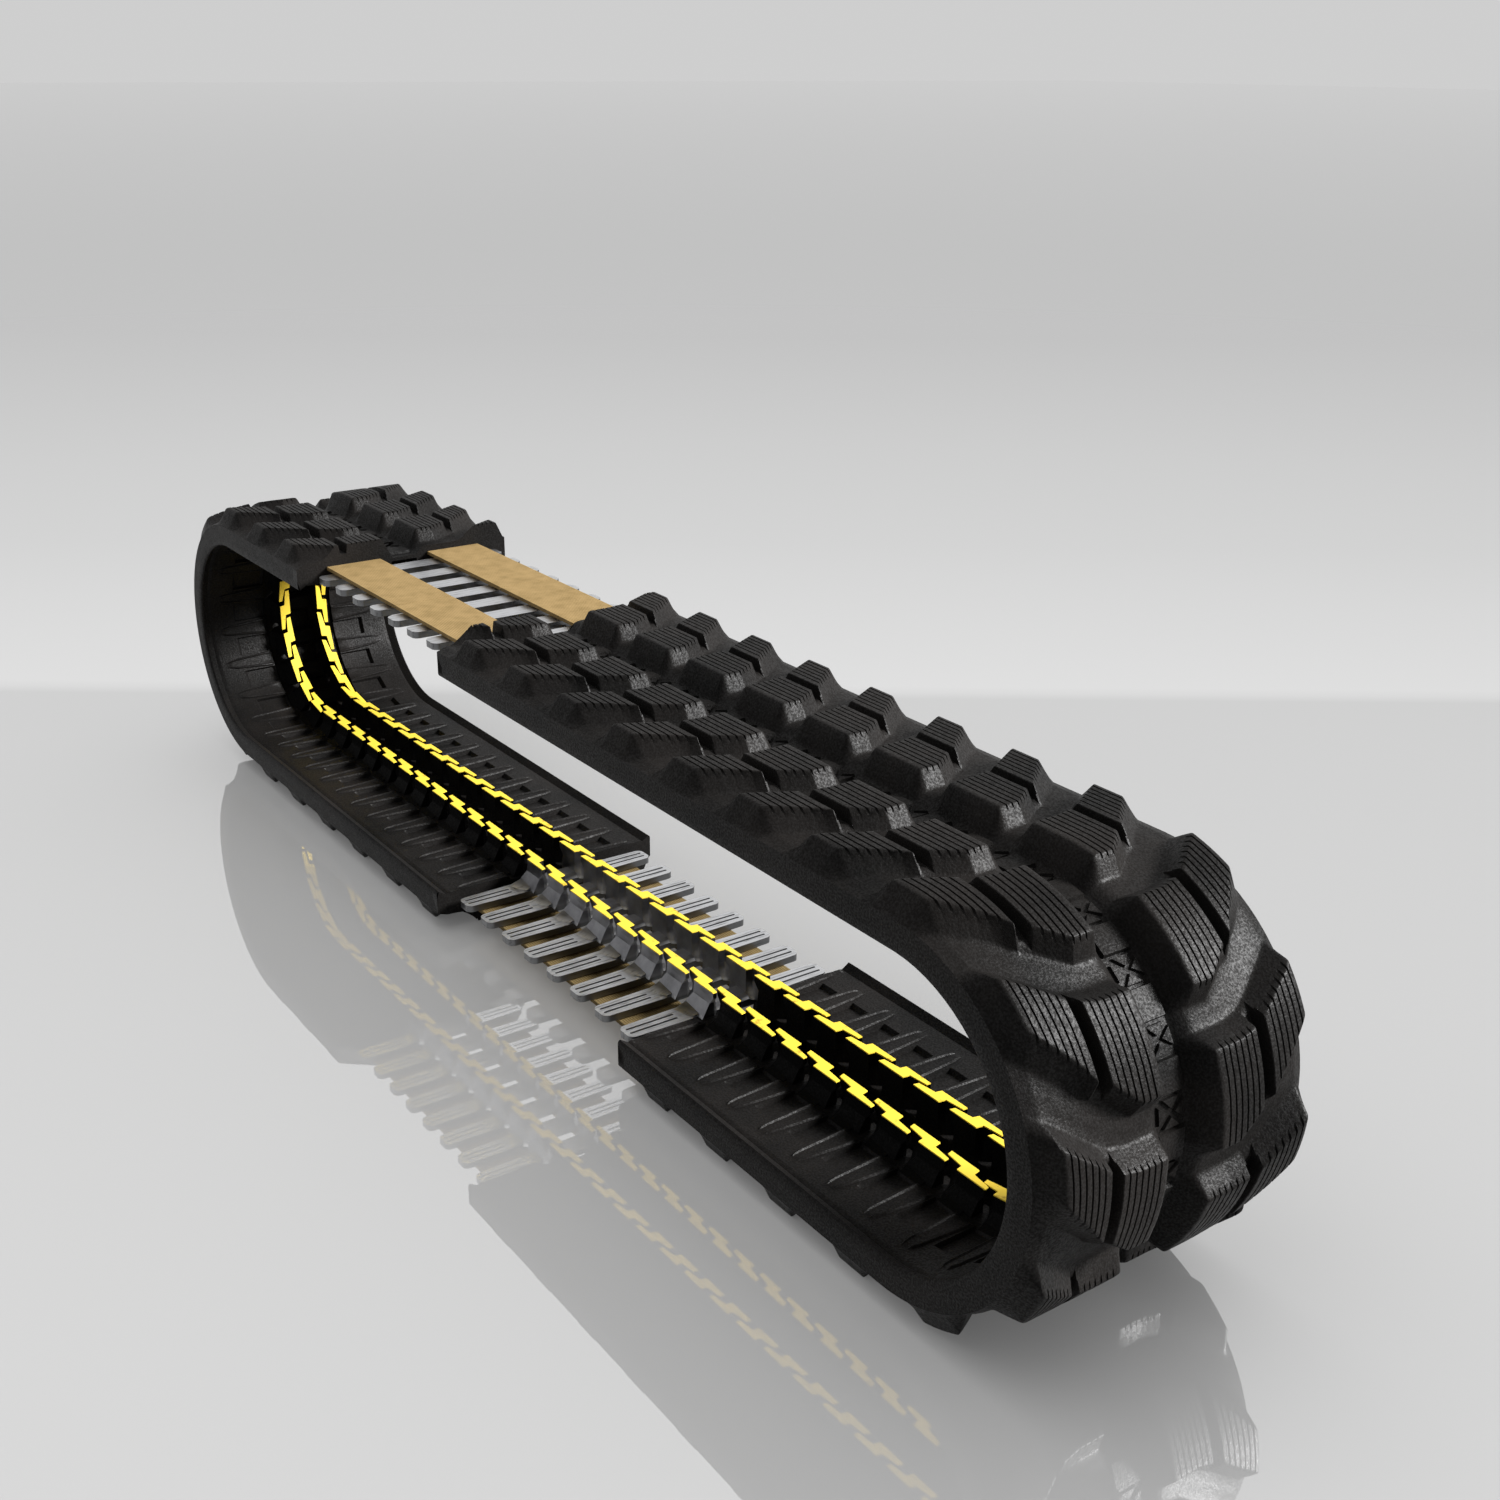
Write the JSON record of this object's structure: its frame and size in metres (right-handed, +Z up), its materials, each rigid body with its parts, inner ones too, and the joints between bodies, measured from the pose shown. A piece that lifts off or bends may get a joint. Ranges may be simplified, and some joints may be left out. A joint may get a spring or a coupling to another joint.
{
  "type": "rubber track",
  "caption": "Endless rubber track for a compact excavator with steel cores, yellow guide lugs and a staggered tread, cut away to show the steel and the belts.",
  "frame": {"origin": "on the ground under the middle of the loop, at the middle of its width", "axes": "+X along the track towards one end of the loop, +Y across its width, +Z up"},
  "size_m": [1.8584, 0.3, 0.3884],
  "materials": {
    "carcass_rubber": "matte moulded rubber",
    "tread_rubber": "matte moulded rubber",
    "core_steel": "machined steel",
    "rail_paint": "yellow paint",
    "belt_cord": "rubbered cord belt"
  },
  "bodies": {
    "base_run": {"belt_base_far": "belt_cord", "belt_base_near": "belt_cord", "carcass_left_end": "carcass_rubber", "carcass_lower_left": "carcass_rubber", "carcass_lower_right": "carcass_rubber", "carcass_right_end": "carcass_rubber", "cores_left_end": "core_steel", "cores_lower_bare": "core_steel", "cores_lower_left": "core_steel", "cores_lower_right": "core_steel", "cores_right_end": "core_steel", "rail_faces_left_end": "rail_paint", "rail_faces_lower_bare": "rail_paint", "rail_faces_lower_left": "rail_paint", "rail_faces_lower_right": "rail_paint", "rail_faces_right_end": "rail_paint", "tread_left_end_far": "tread_rubber", "tread_left_end_near": "tread_rubber", "tread_lower_left_far": "tread_rubber", "tread_lower_left_near": "tread_rubber", "tread_lower_right_far": "tread_rubber", "tread_lower_right_near": "tread_rubber", "tread_right_end_far": "tread_rubber", "tread_right_end_near": "tread_rubber"},
    "upper_right_run": {"belt_upper_right_far": "belt_cord", "belt_upper_right_near": "belt_cord", "carcass_upper_right": "carcass_rubber", "cores_upper_right": "core_steel", "rail_faces_upper_right": "rail_paint", "tread_upper_right_far": "tread_rubber", "tread_upper_right_near": "tread_rubber"},
    "upper_middle_run": {"belt_upper_middle_far": "belt_cord", "belt_upper_middle_near": "belt_cord", "carcass_upper_middle": "carcass_rubber", "cores_upper_middle": "core_steel", "cores_upper_middle_bare": "core_steel", "rail_faces_upper_middle": "rail_paint", "rail_faces_upper_middle_bare": "rail_paint", "tread_upper_middle_far": "tread_rubber", "tread_upper_middle_near": "tread_rubber"},
    "upper_left_run": {"belt_upper_left_far": "belt_cord", "belt_upper_left_near": "belt_cord", "carcass_upper_left": "carcass_rubber", "cores_upper_left": "core_steel", "cores_upper_left_bare": "core_steel", "rail_faces_upper_left": "rail_paint", "rail_faces_upper_left_bare": "rail_paint", "tread_upper_left_far": "tread_rubber", "tread_upper_left_near": "tread_rubber"}
  },
  "joints": [
    {"name": "right_run_sag", "type": "hinge", "parent": "base_run", "child": "upper_right_run", "pos_m": [0.735, 0, 0.3446], "axis": [0, -1, 0], "range_deg": [0, 2.4]},
    {"name": "middle_run_level", "type": "hinge", "parent": "upper_right_run", "child": "upper_middle_run", "pos_m": [0.2625, 0, 0.3446], "axis": [0, 1, 0], "range_deg": [0, 2.4]},
    {"name": "left_run_sag", "type": "hinge", "parent": "base_run", "child": "upper_left_run", "pos_m": [-0.735, 0, 0.3446], "axis": [0, 1, 0], "range_deg": [0, 2.4]}
  ],
  "couplings": [
    {"joint": "middle_run_level", "follows": "right_run_sag", "ratio": 1},
    {"joint": "left_run_sag", "follows": "right_run_sag", "ratio": 1}
  ]
}
